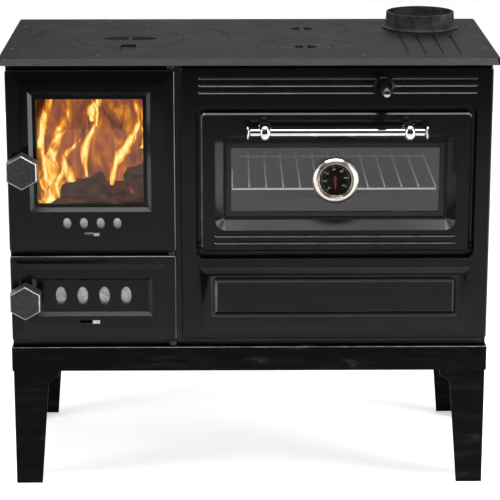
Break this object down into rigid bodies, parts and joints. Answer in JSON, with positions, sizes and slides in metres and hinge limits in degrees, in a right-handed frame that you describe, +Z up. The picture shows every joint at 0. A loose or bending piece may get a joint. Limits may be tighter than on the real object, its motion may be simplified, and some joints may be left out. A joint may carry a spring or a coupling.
{
  "type": "wood cookstove",
  "caption": "Free-standing wood-burning cookstove on four sheet legs: windowed firebox and ash door at the left, drop-down oven door at the right, cast hob with lift-off lids and a flue collar.",
  "frame": {"origin": "on the floor, under the middle of the stove's overall box", "axes": "+X to the stove's right as seen from the front, -Y out of the front, +Z up"},
  "size_m": [0.905, 0.516, 0.8433],
  "materials": {
    "cast_iron": "sand-cast, matt black stove polish",
    "enamel": "gloss black vitreous enamel",
    "black_steel": "satin black heat-proof paint",
    "bare_steel": "plain turned steel",
    "chrome": "polished",
    "cast_aluminium": "cast, linished edges",
    "galvanised": "galvanised sheet",
    "fire_board": "pressed vermiculite board",
    "rope_seal": "knitted glass-fibre rope",
    "smoked_glass": "tinted oven glass",
    "clear_glass": "clear ceramic glass",
    "dial": "printed black dial",
    "needle": "red lacquer",
    "bakelite": "black moulded thermoset"
  },
  "bodies": {
    "root": {"hob_plate": "cast_iron", "flue_collar": "cast_iron", "front_frame": "cast_iron", "hinge_pin_upper": "bare_steel", "hinge_pin_middle": "bare_steel", "hinge_pin_lower": "bare_steel", "side_panel_left": "enamel", "side_panel_right": "enamel", "back_panel": "black_steel", "floor_panel": "black_steel", "plinth": "black_steel", "leg_front_left": "black_steel", "leg_front_right": "black_steel", "leg_rear_left": "black_steel", "leg_rear_right": "black_steel", "oven_front_panel": "enamel", "oven_hinge_left": "bare_steel", "oven_hinge_right": "bare_steel", "oven_box": "black_steel", "oven_rack": "bare_steel", "firebox_floor": "cast_iron", "fire_grate": "cast_iron", "fire_liner_left": "fire_board", "fire_liner_right": "fire_board", "fire_liner_back": "fire_board", "ash_pan": "galvanised", "firebox_partition": "black_steel", "flue_box": "black_steel", "damper_boss": "bakelite"},
    "fire_door": {"fire_door": "enamel", "fire_door_glass": "clear_glass", "fire_glass_retainer": "black_steel", "fire_door_gasket": "rope_seal"},
    "fire_latch": {"fire_latch_knob": "cast_aluminium", "fire_latch_spindle": "bare_steel"},
    "fire_air": {"fire_air_slider": "galvanised"},
    "ash_door": {"ash_door": "enamel"},
    "ash_latch": {"ash_latch_knob": "cast_aluminium", "ash_latch_spindle": "bare_steel"},
    "ash_air": {"ash_air_slider": "galvanised"},
    "oven_door": {"oven_door_skin": "enamel", "oven_door_inner_panel": "black_steel", "oven_door_glass": "smoked_glass", "oven_handle_bar": "chrome", "oven_handle_post_left": "chrome", "oven_handle_post_right": "chrome", "thermometer_case": "chrome", "thermometer_dial": "dial", "thermometer_lens": "clear_glass"},
    "needle": {"thermometer_needle": "needle"},
    "damper": {"damper_plate": "black_steel", "damper_rod": "bare_steel", "damper_grip": "bakelite", "damper_tip": "chrome"},
    "large_ring": {"large_hob_ring": "cast_iron"},
    "large_lid": {"large_hob_lid": "cast_iron"},
    "small_ring": {"small_hob_ring": "cast_iron"},
    "small_lid": {"small_hob_lid": "cast_iron"},
    "rear_lid": {"rear_hob_lid": "cast_iron"}
  },
  "joints": [
    {"name": "fire_door_hinge", "type": "hinge", "parent": "root", "child": "fire_door", "pos_m": [-0.142, -0.1734, 0.622], "axis": [0, 0, 1], "range_deg": [0, 90]},
    {"name": "fire_latch_turn", "type": "hinge", "parent": "fire_door", "child": "fire_latch", "pos_m": [-0.4094, -0.2, 0.612], "axis": [0, 1, 0], "range_deg": [0, 60]},
    {"name": "fire_air_slide", "type": "slide", "parent": "fire_door", "child": "fire_air", "axis": [-1, 0, 0], "range_m": [0, 0.01525]},
    {"name": "ash_door_hinge", "type": "hinge", "parent": "root", "child": "ash_door", "pos_m": [-0.142, -0.1734, 0.3637], "axis": [0, 0, 1], "range_deg": [0, 90]},
    {"name": "ash_latch_turn", "type": "hinge", "parent": "ash_door", "child": "ash_latch", "pos_m": [-0.4094, -0.2, 0.368], "axis": [0, 1, 0], "range_deg": [0, 60]},
    {"name": "ash_air_slide", "type": "slide", "parent": "ash_door", "child": "ash_air", "axis": [-1, 0, 0], "range_m": [0, 0.02]},
    {"name": "oven_door_hinge", "type": "hinge", "parent": "root", "child": "oven_door", "pos_m": [0.15715, -0.174, 0.4588], "axis": [1, 0, 0], "range_deg": [0, 90]},
    {"name": "thermometer_needle_turn", "type": "hinge", "parent": "oven_door", "child": "needle", "pos_m": [0.15715, -0.165, 0.584], "axis": [0, 1, 0], "range_deg": [0, 300]},
    {"name": "damper_slide", "type": "slide", "parent": "root", "child": "damper", "axis": [0, -1, 0], "range_m": [0, 0.08]},
    {"name": "large_ring_lift", "type": "slide", "parent": "root", "child": "large_ring", "axis": [0, 0, 1], "range_m": [0, 0.04]},
    {"name": "large_lid_lift", "type": "slide", "parent": "large_ring", "child": "large_lid", "axis": [0, 0, 1], "range_m": [0, 0.04]},
    {"name": "small_ring_lift", "type": "slide", "parent": "root", "child": "small_ring", "axis": [0, 0, 1], "range_m": [0, 0.04]},
    {"name": "small_lid_lift", "type": "slide", "parent": "small_ring", "child": "small_lid", "axis": [0, 0, 1], "range_m": [0, 0.04]},
    {"name": "rear_lid_lift", "type": "slide", "parent": "root", "child": "rear_lid", "axis": [0, 0, 1], "range_m": [0, 0.04]}
  ]
}
